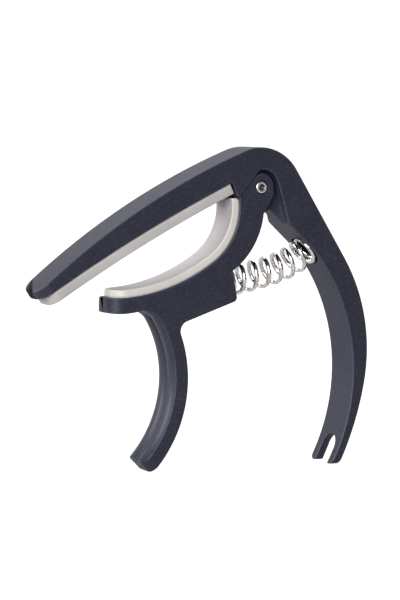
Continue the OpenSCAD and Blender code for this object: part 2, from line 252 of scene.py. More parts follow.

# %% [markdown]
# ## Edges
# Moulded rubber, nylon and bronze get a lighter tone along a rim, a painted highlight, and the groove
# between the finger ribs gets a darker tone than its crests, painted shade. One mask serves both: the
# Geometry node's Pointiness, which is high on convex edges and low in hollows. It needs a fine, even
# mesh. On the castings' large flat faces it smears, so their rims get a material of their own later, on
# the strips that a bevel makes.

# %% The edge mask group
edges, e_in, e_out = group_with(
    "edge_mask",
    {"Start": (NUMBER, 0.51), "End": (NUMBER, 0.56), "Amount": (NUMBER, 0.5)},
    {"Mask": NUMBER},
)
shape = node(edges, "ShaderNodeNewGeometry", (-500, 0))
ramp = node(edges, "ShaderNodeMapRange", (-250, 0))
scaled = node(edges, "ShaderNodeMath", (0, 0))
scaled.operation = "MULTIPLY"
wire(
    edges,
    (shape.outputs["Pointiness"], ramp.inputs["Value"]),
    (e_in.outputs["Start"], ramp.inputs["From Min"]),
    (e_in.outputs["End"], ramp.inputs["From Max"]),
    (ramp.outputs["Result"], scaled.inputs[0]),
    (e_in.outputs["Amount"], scaled.inputs[1]),
    (scaled.outputs["Value"], e_out.inputs["Mask"]),
)

# %% [markdown]
# ## Plating
# Bright plating on drawn wire and turned steel is never a perfect mirror. It keeps long faint draw
# lines and a haze of fingerprints, which change how sharp and how bright its reflections are.

# %% The plating group
plating, p_in, p_out = group_with(
    "plating",
    {
        "Haze Scale": (NUMBER, 400),
        "Line Scale": (NUMBER, 2500),
        "Roughness": (NUMBER, 0.06),
        "Roughness Spread": (NUMBER, 0.1),
        "Bright": (COLOUR, (0.72, 0.71, 0.7, 1)),
        "Dull": (COLOUR, (0.42, 0.41, 0.4, 1)),
    },
    {"Color": COLOUR, "Roughness": NUMBER, "Height": NUMBER},
)
place = node(plating, "ShaderNodeTexCoord", (-900, 0))
haze = node(plating, "ShaderNodeTexNoise", (-600, 150), Detail=4.0, Roughness=0.55)
lines = node(plating, "ShaderNodeTexNoise", (-600, -150), Detail=2.0)
thick = node(plating, "ShaderNodeMapRange", (-350, 150), From_Min=0.4, From_Max=0.75)
blur = node(plating, "ShaderNodeMath", (-100, 0))
blur.operation = "MULTIPLY_ADD"
tint = node(plating, "ShaderNodeMix", (-100, 250))
tint.data_type = "RGBA"
wire(
    plating,
    (place.outputs["Object"], haze.inputs["Vector"]),
    (place.outputs["Object"], lines.inputs["Vector"]),
    (p_in.outputs["Haze Scale"], haze.inputs["Scale"]),
    (p_in.outputs["Line Scale"], lines.inputs["Scale"]),
    (haze.outputs["Fac"], thick.inputs["Value"]),
    (thick.outputs["Result"], blur.inputs[0]),
    (p_in.outputs["Roughness Spread"], blur.inputs[1]),
    (p_in.outputs["Roughness"], blur.inputs[2]),
    (thick.outputs["Result"], tint.inputs["Factor"]),
    (p_in.outputs["Bright"], tint.inputs["A"]),
    (p_in.outputs["Dull"], tint.inputs["B"]),
    (tint.outputs["Result"], p_out.inputs["Color"]),
    (blur.outputs["Value"], p_out.inputs["Roughness"]),
    (lines.outputs["Fac"], p_out.inputs["Height"]),
)

# %% [markdown]
# ## One recipe for the coated and moulded finishes
# Each finish places the grain group and the edge mask and mixes an edge tone in. A lighter tone makes a
# painted highlight on rims, and a darker one painted shade in hollows. Each finish also sends the grain's
# height through a Bump node. Values that are the same all over, such as the specular level or the light
# that scatters inside silicone, are set on the shader's own sockets.

# %% Grained finishes


def finish(name, rim, bump_um, edge=(0.505, 0.56, 0.5), shader=None, **grain_values):
    """A material with the fine grain, an edge tone `rim`, and grain that stands bump_um micrometres high.

    `edge` is where the edge mask starts and ends on Pointiness, and how much of the tone it lets in. A
    lighter tone is a painted highlight on rims, and a darker one is painted shade in hollows.
    """
    material = bpy.data.materials.new(name)
    material.use_nodes = True
    tree = material.node_tree
    surface = tree.nodes["Principled BSDF"]
    texture = node(tree, "ShaderNodeGroup", (-700, 200))
    texture.node_tree = grain
    for key, value in grain_values.items():
        texture.inputs[key.replace("_", " ")].default_value = value
    mask = node(tree, "ShaderNodeGroup", (-700, -100))
    mask.node_tree = edges
    for key, value in zip(("Start", "End", "Amount"), edge):
        mask.inputs[key].default_value = value
    colour = node(tree, "ShaderNodeMix", (-350, 250))
    colour.data_type = "RGBA"
    colour.inputs["B"].default_value = rim
    bump = node(tree, "ShaderNodeBump", (-350, -150), Distance=bump_um * MICRON)
    wire(
        tree,
        (texture.outputs["Color"], colour.inputs["A"]),
        (mask.outputs["Mask"], colour.inputs["Factor"]),
        (colour.outputs["Result"], surface.inputs["Base Color"]),
        (texture.outputs["Roughness"], surface.inputs["Roughness"]),
        (texture.outputs["Height"], bump.inputs["Height"]),
        (bump.outputs["Normal"], surface.inputs["Normal"]),
    )
    for key, value in (shader or {}).items():
        surface.inputs[key].default_value = value
    print("material", name)
    return material


COAT_BASE = (0.0215, 0.0230, 0.0345, 1)
COAT = dict(
    rim=(0.075, 0.077, 0.105, 1), bump_um=30, edge=(0.505, 0.56, 0.0), Speck=(0.085, 0.085, 0.125, 1),
    Grain_Scale=3000, Mottle_Scale=160, Roughness=0.42, Roughness_Spread=0.1,
    shader={"Specular IOR Level": 0.34, "Specular Tint": (0.78, 0.8, 1.0, 1)},
)
powder_coat = finish("powder_coat", Base=COAT_BASE, Speck_Amount=0.45, **COAT)
# The ribs' finish paints shade into the groove: a near-black tone where Pointiness is low, darker than the
# crests.
GROOVE = dict(COAT, rim=(0.0012, 0.0012, 0.002, 1), edge=(0.495, 0.455, 1.0), Roughness=0.34)
coat_ribs = finish("powder_coat_ribs", Base=COAT_BASE, Speck_Amount=0.45, **GROOVE)
# The edge strips' lighter base is partly a thinner coat and partly a painted highlight along the edges.
coat_thin_edge_and_highlight = finish("powder_coat_thin_edge_and_highlight", Base=(0.043, 0.043, 0.064, 1), Speck_Amount=0.5, **COAT)
SOFT = {"Subsurface Weight": 0.25, "Subsurface Scale": 0.0012, "Subsurface Radius": (1.0, 0.8, 0.6)}
# The lighter rim tones of the silicone, nylon and bronze finishes below are a painted highlight along convex
# edges.
cradle_silicone = finish(
    "cradle_silicone", rim=(0.74, 0.72, 0.68, 1), bump_um=8, Base=(0.6, 0.575, 0.54, 1),
    Speck=(0.52, 0.5, 0.48, 1), Grain_Scale=2400, Mottle_Scale=110, Speck_Amount=0.3,
    Roughness=0.5, Roughness_Spread=0.12, edge=(0.505, 0.54, 0.35), shader=SOFT,
)
bar_silicone = finish(
    "bar_silicone", rim=(0.56, 0.54, 0.52, 1), bump_um=9, Base=(0.47, 0.45, 0.44, 1),
    Speck=(0.4, 0.385, 0.38, 1), Grain_Scale=2400, Mottle_Scale=120, Speck_Amount=0.3,
    Roughness=0.54, Roughness_Spread=0.12, edge=(0.505, 0.54, 0.3), shader=SOFT,
)
nylon = finish(
    "nylon", rim=(0.8, 0.8, 0.77, 1), bump_um=5, Base=(0.72, 0.72, 0.69, 1),
    Speck=(0.64, 0.64, 0.6, 1), Grain_Scale=2000, Mottle_Scale=300, Speck_Amount=0.3,
    Roughness=0.4, Roughness_Spread=0.1,
)
bronze = finish(
    "sintered_bronze", rim=(0.66, 0.47, 0.24, 1), bump_um=10, Base=(0.5, 0.33, 0.15, 1),
    Speck=(0.2, 0.13, 0.07, 1), Grain_Scale=5200, Mottle_Scale=500, Speck_Amount=0.7,
    Roughness=0.38, Roughness_Spread=0.15, shader={"Metallic": 1.0},
)

# %% Plated finishes


def plated(name, bump_um, **plating_values):
    """A bright plated metal: the plating group feeds its colour, roughness and a very low bump."""
    material = bpy.data.materials.new(name)
    material.use_nodes = True
    tree = material.node_tree
    surface = tree.nodes["Principled BSDF"]
    surface.inputs["Metallic"].default_value = 1.0
    coat = node(tree, "ShaderNodeGroup", (-600, 100))
    coat.node_tree = plating
    for key, value in plating_values.items():
        coat.inputs[key.replace("_", " ")].default_value = value
    bump = node(tree, "ShaderNodeBump", (-300, -150), Distance=bump_um * MICRON)
    wire(
        tree,
        (coat.outputs["Color"], surface.inputs["Base Color"]),
        (coat.outputs["Roughness"], surface.inputs["Roughness"]),
        (coat.outputs["Height"], bump.inputs["Height"]),
        (bump.outputs["Normal"], surface.inputs["Normal"]),
    )
    print("material", name)
    return material


plated_wire = plated(
    "plated_wire", 0.25, Haze_Scale=500, Line_Scale=1800, Roughness=0.03, Roughness_Spread=0.06,
    Bright=(0.93, 0.915, 0.9, 1), Dull=(0.6, 0.55, 0.52, 1),
)
plated_screw = plated(
    "plated_screw", 0.4, Haze_Scale=900, Line_Scale=3000, Roughness=0.3, Roughness_Spread=0.08,
    Bright=(0.95, 0.93, 0.91, 1), Dull=(0.75, 0.72, 0.7, 1),
)
# A near-black steel for inside the sockets: painted shade, not a different metal.
socket_painted_shade = plated(
    "socket_painted_shade", 0.4, Haze_Scale=900, Line_Scale=3000, Roughness=0.35, Roughness_Spread=0.1,
    Bright=(0.2, 0.19, 0.18, 1), Dull=(0.09, 0.085, 0.08, 1),
)

# %% [markdown]
# ## Painted shade on the pads' faces
# The face of a pad that presses on wood or strings gets a painted shade: a darker, cooler tone than its
# moulded sides. A pad's grid runs from the seat, up the side and over the face, so the row number alone
# tells the face from the rest. It is u on the pad's own UV map, and one multiplied tone along it is enough.

# %% Painted shade on the faces
FACE_START, FACE_END = 0.5, 0.6


def painted_face_shade(material, tone):
    """Multiplies the colour by `tone`, a painted shade, on the face: none of it up to FACE_START on u, all
    past FACE_END.
    """
    tree = material.node_tree
    surface = tree.nodes["Principled BSDF"]
    before = surface.inputs["Base Color"].links[0].from_socket
    rows = node(tree, "ShaderNodeUVMap", (-700, 500))
    rows.uv_map = "UVMap"
    split = node(tree, "ShaderNodeSeparateXYZ", (-500, 500))
    past = node(tree, "ShaderNodeMapRange", (-300, 500), From_Min=FACE_START, From_Max=FACE_END)
    shaded = node(tree, "ShaderNodeMix", (-150, 350))
    shaded.data_type, shaded.blend_type = "RGBA", "MULTIPLY"
    shaded.inputs["B"].default_value = tone
    wire(
        tree,
        (rows.outputs["UV"], split.inputs["Vector"]),
        (split.outputs["X"], past.inputs["Value"]),
        (past.outputs["Result"], shaded.inputs["Factor"]),
        (before, shaded.inputs["A"]),
        (shaded.outputs["Result"], surface.inputs["Base Color"]),
    )


# Both pads' faces get a painted shade, a darker and cooler tone than their sides.
painted_face_shade(cradle_silicone, (0.7, 0.68, 0.74, 1))
painted_face_shade(bar_silicone, (0.85, 0.84, 0.86, 1))
print("rubbed faces past u", FACE_START)


def dress(piece, material):
    """Puts one material on a piece, in place of whatever it had."""
    piece.data.materials.clear()
    piece.data.materials.append(material)
    return piece


# %% [markdown]
# ## The two castings
# Each casting is one outline with pockets, a slot and bores cut into it, and the imported model holds
# exactly that. It could be swept again as a grid, but every cut would have to be made again too. So
# the CAD mesh is copied, its loose triangles are welded, and flat triangles are joined into whole
# faces. What it lacks is the small round that a die leaves on every outside edge, and the Bevel
# modifier adds that along the edges that are given a weight. The bevel also puts a second material,
# coat_thin_edge_and_highlight, on its own strips. That coat is lighter, partly because a coat is thinner
# over an edge and partly as a painted highlight along every rounded edge.

# %% Castings with rounded edges
EDGE_ROUND = 0.32 * MM
SHARP, FLAT = 28.0, 0.6
SIDE_WEIGHT = 80
EYE_R, EYE_WEIGHT = 2.4, 0.25
grip_c, grip_r = np.array([-51.2, -48.6]), 28.6
GROOVE_HALF, GROOVE_DEEP = 0.6, 1.0


def edge_weight(edge):
    """How much of the full round an edge gets: EYE_WEIGHT at the bores, none in the groove, else all."""
    middle = (np.array((edge.verts[0].co + edge.verts[1].co) / 2) - PIVOT) / MM
    from_grip = math.hypot(middle[0] - grip_c[0], middle[2] - grip_c[1])
    if abs(middle[1]) < GROOVE_HALF and from_grip < grip_r + GROOVE_DEEP:
        return 0.0
    return EYE_WEIGHT if math.hypot(middle[0], middle[2]) < EYE_R else 1.0


def casting(source, name):
    """Copies a CAD node as a welded mesh whose convex sharp edges carry bevel weights.

    Faces that meet at under FLAT degrees are joined. Past SHARP degrees, an edge that stands out gets
    a weight, and an edge in a hollow is marked sharp and stays as it is.
    """
    mesh = frame["nodes"][source].data.copy()
    mesh.name = name
    built = bmesh.new()
    built.from_mesh(mesh)
    bmesh.ops.remove_doubles(built, verts=built.verts, dist=20 * MERGE)
    bmesh.ops.dissolve_limit(built, angle_limit=math.radians(FLAT), verts=built.verts, edges=built.edges)
    weight = built.edges.layers.float.new("bevel_weight_edge")
    for edge in built.edges:
        bend = math.degrees(edge.calc_face_angle_signed(0))
        edge[weight] = edge_weight(edge) if bend > SHARP else 0.0
        edge.smooth = bend > -SHARP
    rounded = sum(edge[weight] > 0 for edge in built.edges)
    built.to_mesh(mesh)
    built.free()
    mesh.polygons.foreach_set("use_smooth", np.ones(len(mesh.polygons), bool))
    piece = bpy.data.objects.new(name, mesh)
    bpy.context.scene.collection.objects.link(piece)
    bevel = piece.modifiers.new("edge rounds", "BEVEL")
    bevel.limit_method, bevel.width, bevel.segments = "WEIGHT", EDGE_ROUND, 3
    bevel.use_clamp_overlap, bevel.face_strength_mode = False, "FSTR_ALL"
    # The bevel strips take material 1: the lighter coat, which is partly a painted edge highlight.
    bevel.material = 1
    normals = piece.modifiers.new("flat sides", "WEIGHTED_NORMAL")
    normals.keep_sharp, normals.weight, normals.use_face_influence = True, SIDE_WEIGHT, True
    print(f"{name}: {len(mesh.polygons)} faces, {rounded} edges rounded")
    dress(piece, powder_coat)
    mesh.materials.append(coat_thin_edge_and_highlight)
    return piece


join_body(casting("upper_arm", "arm_casting"), "arm", "powder_coat", "upper_arm")
join_body(casting("lower_jaw", "jaw_casting"), "jaw", "powder_coat", "lower_jaw")

# %% [markdown]
# ## Ribs for the finger
# The finger pulls on two soft ribs that run side by side down the front handle, with a groove between
# them. They fade out in the fillet under the tongue and end in a small round at the tip. They are one
# profile across the width, carried along the handle's own two arcs: the grip of 28.6 mm and a fillet
# of 5.5 mm.

# %% Finger ribs
RIB_H, RIB_W, RIB_EDGE, RIB_ROOT = 0.6, 4.6, 0.25, 1.4
CUT_DEPTH, CUT_WIDTH = 1.05, 0.27
FADE_LENGTH, FADE_END, FADE_SINK = 3.0, 0.2, 0.08
PROUD, ROOT_SHARE, POLE_DEPTH = 0.01, 0.97, 1.25
TIP_ROWS, GRIP_ROWS, FILLET_ROWS, RIB_COLUMNS = 7, 80, 28, 81
fillet_c, fillet_r = np.array([-31.706, -36.205]), 5.5
tip_a, turn_a, tongue_a = -44.08, 32.45, 102.2
jaw_half, tip_r, tip_round = 4.8, 2.6, 0.5
grip_l = grip_r * math.radians(turn_a - tip_a)
finger_l = grip_l + fillet_r * math.radians(tongue_a - turn_a)


def on_finger(s, y, h):
    """A place s mm up the handle from its tip, y across and h above the finger face.

    Up to grip_l it lies on the grip's arc, at the angle tip_a plus s over grip_r. After that it lies on
    the fillet's arc. Both arcs are hollow, so h is taken off the radius.
    """
    low = s < grip_l
    angle = np.where(low, tip_a + np.degrees(s / grip_r), turn_a + np.degrees((s - grip_l) / fillet_r))
    radius = np.where(low, grip_r, fillet_r) - h
    centre = np.where(low[..., None], grip_c, fillet_c)
    place = centre + radius[..., None] * heading(angle)
    return at_pivot(place[..., 0], y, place[..., 1])


def rounded_in(distance, radius):
    """How far a rounded edge has fallen: r less the root of (r squared less (r less distance) squared)."""
    gone = np.clip(radius - distance, 0, radius)
    return radius - np.sqrt(radius**2 - gone**2)


def finger_ribs():
    """The skin of the two ribs: rows along the handle, columns once round the section.

    The height is RIB_H times one less the squared distance from a crown, less a bell CUT_DEPTH deep at
    the middle and the fall at both edges. The ribs and the cut fade out over the last FADE_LENGTH of
    the fillet. Columns are even, drawn a little towards the edges and then more towards the cut.
    """
    tip_rows = tip_round * (1 - np.cos(np.linspace(0, np.pi / 2, TIP_ROWS)))
    grip_rows, fillet_rows = np.linspace(1, grip_l, GRIP_ROWS), np.linspace(grip_l, finger_l, FILLET_ROWS)
    s = np.concatenate([tip_rows, grip_rows, fillet_rows[1:]])
    half = jaw_half - rounded_in(s, tip_r) + PROUD
    even = np.linspace(-1, 1, RIB_COLUMNS)
    across = 0.35 * np.sin(even * np.pi / 2) + 0.65 * even
    across = 0.55 * across + 0.45 * np.abs(across) * across
    y = half[:, None] * across
    crown = 1 - ((np.abs(y) - RIB_W / 2) / (RIB_W / 2)) ** 2
    fade = 1 - ease((s - (finger_l - FADE_LENGTH - FADE_END)) / FADE_LENGTH)[:, None]
    height = fade * (RIB_H * np.clip(crown, -0.4, 1) - CUT_DEPTH * np.exp(-((y / CUT_WIDTH) ** 2)))
    height -= rounded_in(half[:, None] - np.abs(y), RIB_EDGE) + rounded_in(s, tip_round)[:, None]
    height -= FADE_SINK * (1 - fade)
    top = on_finger(np.broadcast_to(s[:, None], y.shape), y, height)
    back = y[:, ::-4]
    below = np.full(back.shape, -RIB_ROOT)
    under = on_finger(np.broadcast_to(s[:, None], back.shape), back * ROOT_SHARE, below)
    rows = np.concatenate([top, under], axis=1)
    ends = [on_finger(s[[k]], np.zeros(1), np.full(1, -POLE_DEPTH)) for k in (0, -1)]
    first, last = (np.broadcast_to(end, (1, rows.shape[1], 3)) for end in ends)
    return np.concatenate([first, rows, last])


join_body(dress(grid_piece("finger_ribs", finger_ribs()), coat_ribs), "jaw", "powder_coat")
print(f"ribs run {finger_l:.1f} mm up the handle")

# %% [markdown]
# ## Silicone pads
# Both pads are solid silicone, moulded to lie on a curved seat. A block with a bevel would do, but the
# real ones have round ends in plan, a soft top edge and a slightly crowned face. So each is one grid: a
# rounded rectangle is drawn in from its edge row by row while it rises, and a map bends it to the seat.

# %% A moulded pad
CORNER_POINTS, SIDE_POINTS, END_POINTS = 9, 90, 10
EDGE_ROWS, FACE_ROWS = 8, 9
BASE_SHARE = 0.3


def plan_loop(inset, length, width, start_r, end_r):
    """The rounded rectangle (along, across), drawn in by `inset`, as one row of points.

    Each corner is a quarter circle whose radius is what is left of r after the inset. The long sides
    get SIDE_POINTS, so that they can bend, and the ends need only END_POINTS.
    """
    half = width / 2
    turns = np.linspace(0, np.pi / 2, CORNER_POINTS)
    loop = []
    for r, x, y, start in (
        (end_r, length, 1, 0), (start_r, 0, 1, 1), (start_r, 0, -1, 2), (end_r, length, -1, 3)
    ):
        left, back = max(r - inset, 0), max(r, inset)
        a = start * np.pi / 2 + turns
        centre = np.array([length - back if x else back, y * (half - back)])
        loop.append(centre + left * np.stack([np.cos(a), np.sin(a)], axis=-1))
    sides = []
    for k, corner in enumerate(loop):
        steps = SIDE_POINTS if k % 2 == 0 else END_POINTS
        t = np.linspace(0, 1, steps)[1:-1, None]
        sides += [corner, corner[-1] * (1 - t) + loop[(k + 1) % 4][0] * t]
    return np.concatenate(sides)


def moulded_pad(length, width, thick, start_r, end_r, edge_r, crown, to_place):
    """A pad as rows: the middle of the seat, its rim, the side, a quarter round of edge_r, then the face.

    On the face, across shrinks to nothing and the height is thick less crown times the squared share of
    the half width. `to_place` turns (along, across, height) into a place in the frame.
    """
    a = np.linspace(0, np.pi / 2, EDGE_ROWS)
    insets = np.concatenate([[0.0, 0.0], edge_r * (1 - np.cos(a))])
    rim_height = thick - crown
    heights = np.concatenate([[0.0, BASE_SHARE * rim_height], rim_height - edge_r + edge_r * np.sin(a)])
    plans = np.stack([plan_loop(inset, length, width, start_r, end_r) for inset in insets])
    rows = np.concatenate([plans, np.broadcast_to(heights[:, None, None], plans.shape[:2] + (1,))], axis=2)
    shrink = np.cos(np.linspace(0, np.pi / 2, FACE_ROWS + 1))[1:, None]
    along = np.broadcast_to(rows[-1, :, 0], (FACE_ROWS, rows.shape[1]))
    face = np.stack([along, rows[-1, :, 1] * shrink], axis=-1)
    share = (face[..., 1:] / (width / 2 - edge_r)) ** 2
    face = np.concatenate([face, rim_height + crown * (1 - share)], axis=2)
    seat = rows[:1] * np.array([1, 0, 1])
    grid = np.concatenate([seat, rows, face])
    return to_place(grid[..., 0], grid[..., 1], grid[..., 2])


# %% [markdown]
# ## The bar's pad
# It lies along the bar on an arc of about 400 mm, because a fingerboard is slightly crowned. Its free
# end has large round corners in plan and its end by the hinge is square, where it meets the arm's
# shoulder.

# %% Bar pad
BAR_PAD_T, FRET_R, BAR_L, PAD_INSET, PAD_GAP = 2.8, 400.0, 57.6, 1.5, 0.25
bar_root, bar_seat_r = np.array([-8.85, 0.95]), FRET_R + BAR_PAD_T
bar_middle = bar_root + BAR_L / 2 * heading(210.0)
bar_c = bar_middle + math.sqrt(bar_seat_r**2 - (BAR_L / 2) ** 2) * heading(300.0)
bar_start = math.degrees(math.atan2(*(bar_root - bar_c)[::-1])) + math.degrees(PAD_GAP / bar_seat_r)
bar_l = 2 * bar_seat_r * math.asin(BAR_L / 2 / bar_seat_r) - PAD_GAP - PAD_INSET


def on_bar(along, across, height):
    """Along the bar's arc from its hinge end, with the height towards the arc's centre."""
    place = bar_c + (bar_seat_r - height)[..., None] * heading(bar_start + np.degrees(along / bar_seat_r))
    return at_pivot(place[..., 0], across, place[..., 1])


bar_grid = moulded_pad(
    bar_l, width=10.0, thick=BAR_PAD_T, start_r=0.4, end_r=3.1, edge_r=0.25, crown=0.06, to_place=on_bar,
)
bar_cushion = dress(grid_piece("bar_cushion", bar_grid), bar_silicone)
join_body(bar_cushion, "arm", "bar_silicone", "bar_pad")
print(f"bar pad {bar_l:.1f} mm long")

# %% [markdown]
# ## The cradle's pad
# This one wraps the back of the neck. It follows two arcs, a wide one at the open end and a tight one
# by the hinge, and its edges are rounder than the bar pad's. By the hinge its end is cut on a slant.

# %% Cradle pad
open_c, open_r = np.array([-40.404, 19.418]), 47.0
close_c, close_r = np.array([-22.3, -5.5]), 16.2
open_start, arc_change, close_end = -89.02, -54.0, 8.3
open_l = open_r * math.radians(arc_change - open_start)
cradle_l = open_l + close_r * math.radians(close_end - arc_change)
slant_l, slant_h, slant_run = 0.6, 0.76, 4.0


def on_cradle(along, across, height):
    """Along the seat from the tongue's tip: the wide arc up to open_l, then the tight one.

    Both arcs are hollow, so the height is taken off the radius. The last slant_run is drawn out by
    slant_l times the height over slant_h, up to one, which makes the slanted cut.
    """
    near_end = ease((along - cradle_l + slant_run) / slant_run)
    along = along + slant_l * np.clip(height / slant_h, 0, 1) * near_end
    wide = along < open_l
    angle = np.where(wide, open_start + np.degrees(along / open_r),
                     arc_change + np.degrees((along - open_l) / close_r))
    radius = np.where(wide, open_r, close_r) - height
    place = np.where(wide[..., None], open_c, close_c) + radius[..., None] * heading(angle)
    return at_pivot(place[..., 0], across, place[..., 1])


cradle_grid = moulded_pad(
    cradle_l, width=9.0, thick=2.0, start_r=3.7, end_r=0.4, edge_r=0.3, crown=0.06, to_place=on_cradle,
)
cradle_cushion = dress(grid_piece("cradle_cushion", cradle_grid), cradle_silicone)
join_body(cradle_cushion, "jaw", "cradle_silicone", "cradle_pad")
for node_name, grid in (("bar_pad", bar_grid), ("cradle_pad", cradle_grid)):
    cad = [np.round(np.array(corner) / MM, 2).tolist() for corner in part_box(node_name)]
    made = [np.round(end / MM, 2).tolist() for end in (grid.min((0, 1)), grid.max((0, 1)))]
    print(f"{node_name}: CAD {cad} mm, pad {made} mm")

# %% [markdown]
# ## The spring
# A compression spring sits bent between the two castings. Its middle line is one cubic curve that
# leaves each seat square, and the wire runs round that line. The last turn at each end is closed, so
# it lies flat on its seat.

# %% Spring
jaw_seat, arm_seat = np.array([-7.811, -24.136]), np.array([16.668, -15.045])
jaw_heading, arm_heading = 13.0, 45.0
COIL_D, WIRE_D, TURNS = 8.0, 1.15, 6.5
WIRE_SIDES, TURN_STEPS, END_SHARE = 20, 60, 0.8
span = float(np.hypot(*(arm_seat - jaw_seat)))
rise = WIRE_D / span


def middle_line(t):
    """A cubic curve between the seats: each handle is a third of the span along the seat's heading."""
    t = t[:, None]
    first = jaw_seat + span / 3 * heading(jaw_heading)
    second = arm_seat - span / 3 * heading(arm_heading)
    point = (1 - t) ** 3 * jaw_seat + 3 * (1 - t) ** 2 * t * first
    point = point + 3 * (1 - t) * t**2 * second + t**3 * arm_seat
    slope = np.gradient(point, axis=0)
    return point, slope / np.linalg.norm(slope, axis=1, keepdims=True)


def wire_line(turns):
    """The wire's middle: for each turn number, a circle about the middle line, and how far along it is.

    The first and last turn rise by one wire thickness. The turns between share the rest of the span.
    """
    last = TURNS + 2
    open_pitch = (1 - 3 * rise) / TURNS
    inner = rise + (turns - 1) * open_pitch
    t = np.where(turns < 1, turns * rise, np.where(turns > last - 1, 1 - rise * (last - turns + 1), inner))
    point, along = middle_line(t + rise / 2)
    out = (COIL_D - WIRE_D) / 2
    side = np.stack([-along[:, 1], along[:, 0]], axis=1)
    a = 2 * np.pi * turns
    flat = point + out * np.cos(a)[:, None] * side
    return at_pivot(flat[:, 0], out * np.sin(a), flat[:, 1]), at_pivot(point[:, 0], 0, point[:, 1])


def wire_tube(sides=WIRE_SIDES, steps=TURN_STEPS):
    """A tube round the wire's middle, with a smaller ring and a pole at each end.

    Each section is a circle in the plane of two directions: away from the coil's middle, and square to
    that and to the wire.
    """
    turns = np.linspace(0, TURNS + 2, int((TURNS + 2) * steps) + 1)
    line, core = wire_line(turns)
    away = line - core
    away /= np.linalg.norm(away, axis=1, keepdims=True)
    ahead = np.gradient(line, axis=0)
    ahead /= np.linalg.norm(ahead, axis=1, keepdims=True)
    square = np.cross(ahead, away)
    a = np.linspace(0, 2 * np.pi, sides, endpoint=False)
    ring = np.cos(a)[:, None] * away[:, None] + np.sin(a)[:, None] * square[:, None]
    tube = line[:, None] + WIRE_D / 2 * MM * ring
    inner_rings = [line[[k], None] + END_SHARE * WIRE_D / 2 * MM * ring[[k]] for k in (0, -1)]
    poles = [np.broadcast_to(line[[k], None], (1, sides, 3)) for k in (0, -1)]
    return np.concatenate([poles[0], inner_rings[0], tube, inner_rings[1], poles[1]])


spring = dress(grid_piece("coil_spring", wire_tube()), plated_wire)
at_pivot(jaw_seat[0], 0, jaw_seat[1]).tolist()
at_pivot(arm_seat[0], 0, arm_seat[1]).tolist()
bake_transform(spring)
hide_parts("spring")
print(f"coil {COIL_D} mm across, {span:.1f} mm from seat to seat")

# %% [markdown]
# ## The hinge pin
# The pin is a screw and a sleeve nut, turned from steel and plated, each with a hex socket. A nylon
# washer lies on each side of the arm's eye, and a bronze bush lines it. All of them are turned about the
# same axis, so each is a profile of radii and places along y, spun round. The socket is the same spin
# with the radius of a hexagon: half the width across flats over the cosine of the angle from a flat.
# Inside the socket the faces get a much darker steel, socket_painted_shade, which paints the shade in the
# hollow.

# %% Turned pieces
SPIN_STEP, TURNED_SHARP = 5.0, 50


def turned(name, profile, material, body, slot, source):
    """Spins a profile about the pivot's y axis: x and z are the radius times the cosine and the sine.

    Each row is (radius, y, six). Where `six` is 1, the radius is half the width across flats and is
    divided by the cosine of the angle from the nearest flat's middle, which makes a hexagon.
    """
    a = np.radians(np.arange(0, 360, SPIN_STEP))
    rows = np.array(profile, float)
    from_flat = np.mod(a, np.pi / 3) - np.pi / 6
    radius = rows[:, :1] * np.where(rows[:, 2:] > 0, 1 / np.cos(from_flat), 1.0)
    grid = at_pivot(radius * np.cos(a), np.broadcast_to(rows[:, 1:2], radius.shape), radius * np.sin(a))
    piece = dress(grid_piece(name, grid), material)
    piece.data.set_sharp_from_angle(angle=math.radians(TURNED_SHARP))
    return join_body(piece, body, slot, source)


def edge_arc(radius, y, r, start, turn):
    """Four rows of a small round of radius r about (radius, y), from angle start through turn degrees."""
    a = np.radians(start + turn * np.linspace(0, 1, 4))
    return [(radius + r * math.cos(k), y + r * math.sin(k), 0) for k in a]


HEAD_R, HEAD_Y, HEAD_H, HEAD_ROUND = 1.55, 4.7, 1.1, 0.3
HEX_R, HEX_DEPTH, HEX_FLARE, FLARE_DEPTH = 0.75, 0.9, 0.16, 0.12
SHANK_R, SHANK_TIP_R, SHANK_END, SHANK_TIP = 0.8, 0.65, 2.8, 3.0
BORE_R, SLEEVE_R, SLEEVE_END, BORE_END, SLEEVE_CHAMFER = 0.83, 1.2, 3.5, 3.4, 0.1
under_head = HEAD_Y - HEAD_H
screw = turned(
    "hinge_screw",
    [(0, -HEAD_Y + HEX_DEPTH, 0), (HEX_R, -HEAD_Y + HEX_DEPTH, 1), (HEX_R, -HEAD_Y + FLARE_DEPTH, 1),
     (HEX_R + HEX_FLARE, -HEAD_Y, 0), (HEAD_R - HEAD_ROUND, -HEAD_Y, 0)]
    + edge_arc(HEAD_R - HEAD_ROUND, -HEAD_Y + HEAD_ROUND, HEAD_ROUND, -90, 90)
    + [(HEAD_R, -under_head, 0), (SHANK_R, -under_head, 0), (SHANK_R, SHANK_END, 0),
       (SHANK_TIP_R, SHANK_TIP, 0), (0, SHANK_TIP, 0)],
    plated_screw, "jaw", "plated_screw", "pivot_screw",
)
nut = turned(
    "sleeve_nut",
    [(BORE_R, -SLEEVE_END, 0), (SLEEVE_R - SLEEVE_CHAMFER, -SLEEVE_END, 0),
     (SLEEVE_R, -SLEEVE_END + SLEEVE_CHAMFER, 0), (SLEEVE_R, under_head, 0), (HEAD_R, under_head, 0)]
    + edge_arc(HEAD_R - HEAD_ROUND, HEAD_Y - HEAD_ROUND, HEAD_ROUND, 0, 90)
    + [(HEX_R + HEX_FLARE, HEAD_Y, 0), (HEX_R, HEAD_Y - FLARE_DEPTH, 1), (HEX_R, HEAD_Y - HEX_DEPTH, 1),
       (0, HEAD_Y - HEX_DEPTH, 0), (0, BORE_END, 0), (BORE_R, BORE_END, 0), (BORE_R, -SLEEVE_END, 0)],
    plated_screw, "jaw", "plated_screw", "pivot_nut",
)

# %% Painted shade in the sockets
SOCKET_REACH, HEAD_MARGIN = 1.12, 0.05


